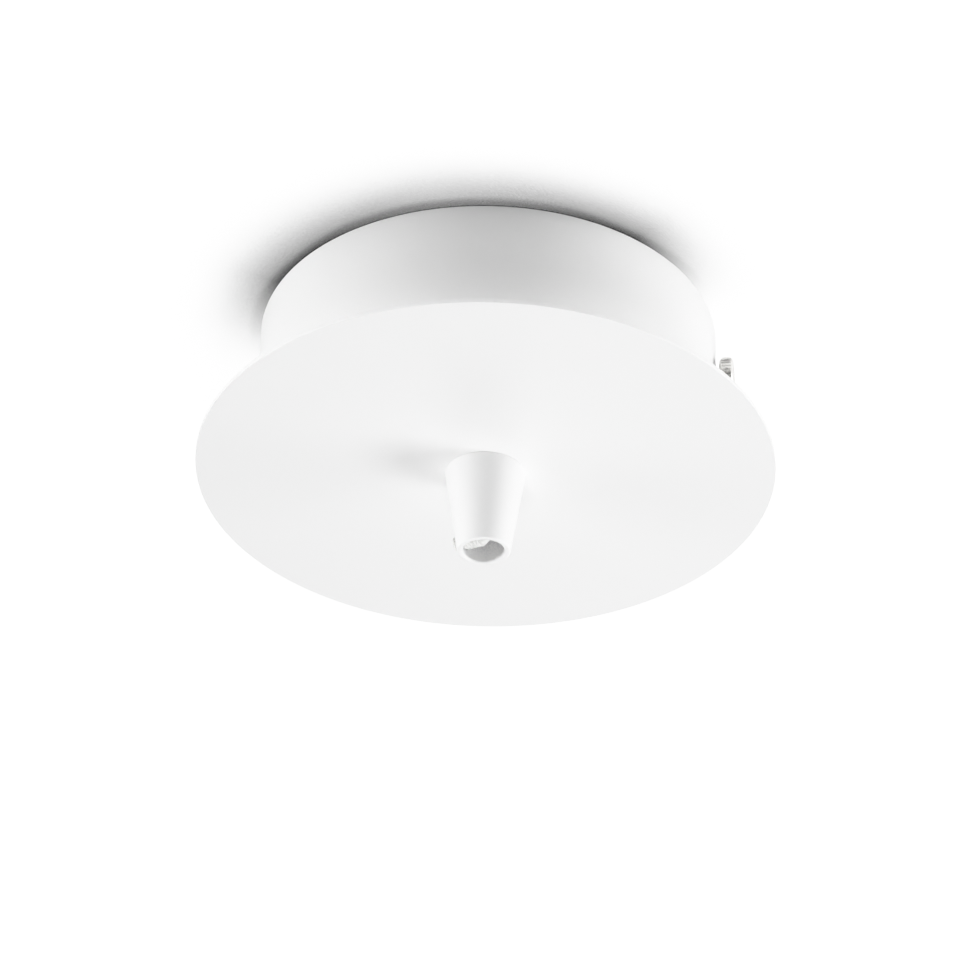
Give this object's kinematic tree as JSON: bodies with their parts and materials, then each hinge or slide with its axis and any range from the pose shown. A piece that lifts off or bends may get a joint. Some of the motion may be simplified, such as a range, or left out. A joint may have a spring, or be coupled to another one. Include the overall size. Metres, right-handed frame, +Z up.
{
  "type": "electrical ceiling rose",
  "caption": "White metal ceiling rose for a pendant lamp: a drum under a wide thin disc, a cord cone with a clamping screw, knurled side screws, and a bracket with terminals inside.",
  "frame": {"origin": "centre of the two ceiling screw slots, on the bracket's upper face, which lies against the ceiling", "axes": "+Z up into the ceiling, along the axis of drum, disc and cone; the two thumb screws lie along X, and the bracket's length too"},
  "size_m": [0.15, 0.15, 0.0652],
  "materials": {
    "white_coat": "satin white powder coat on steel sheet and on the turned cone",
    "nickel_screw": "nickel-plated knurled steel",
    "white_nylon": "natural white nylon screw",
    "zinc_steel": "zinc-plated steel sheet and screws",
    "brass_thread": "turned brass",
    "block_plastic": "moulded polyamide",
    "bush_plastic": "black moulded plastic"
  },
  "bodies": {
    "bracket": {"ceiling_bracket": "zinc_steel", "terminal_block": "block_plastic", "terminal_tube_1": "brass_thread", "terminal_tube_2": "brass_thread", "terminal_tube_3": "brass_thread", "terminal_screws": "zinc_steel", "block_fixing_screws": "zinc_steel", "earth_screw": "brass_thread", "earth_cup_washer": "brass_thread", "earth_lock_washer": "zinc_steel"},
    "canopy": {"drum_shell": "white_coat", "front_disc": "white_coat", "cord_cone": "white_coat", "threaded_nipple": "brass_thread", "nipple_flat_washer": "zinc_steel", "nipple_tooth_washer": "zinc_steel", "nipple_hex_nut": "brass_thread", "nipple_cord_bush": "bush_plastic", "side_weld_nuts": "zinc_steel"},
    "thumb_screw_right": {"thumb_screw_right": "nickel_screw"},
    "thumb_screw_left": {"thumb_screw_left": "nickel_screw"},
    "cord_screw": {"cord_screw": "white_nylon"}
  },
  "joints": [
    {"name": "canopy_drop", "type": "slide", "parent": "bracket", "child": "canopy", "axis": [0, 0, -1], "range_m": [0, 0.06]},
    {"name": "thumb_screw_right_travel", "type": "slide", "parent": "canopy", "child": "thumb_screw_right", "axis": [1, 0, 0], "range_m": [0, 0.004]},
    {"name": "thumb_screw_left_travel", "type": "slide", "parent": "canopy", "child": "thumb_screw_left", "axis": [-1, 0, 0], "range_m": [0, 0.004]},
    {"name": "cord_screw_travel", "type": "slide", "parent": "canopy", "child": "cord_screw", "axis": [-0.9563, 0.2924, 0], "range_m": [0, 0.0067]}
  ]
}
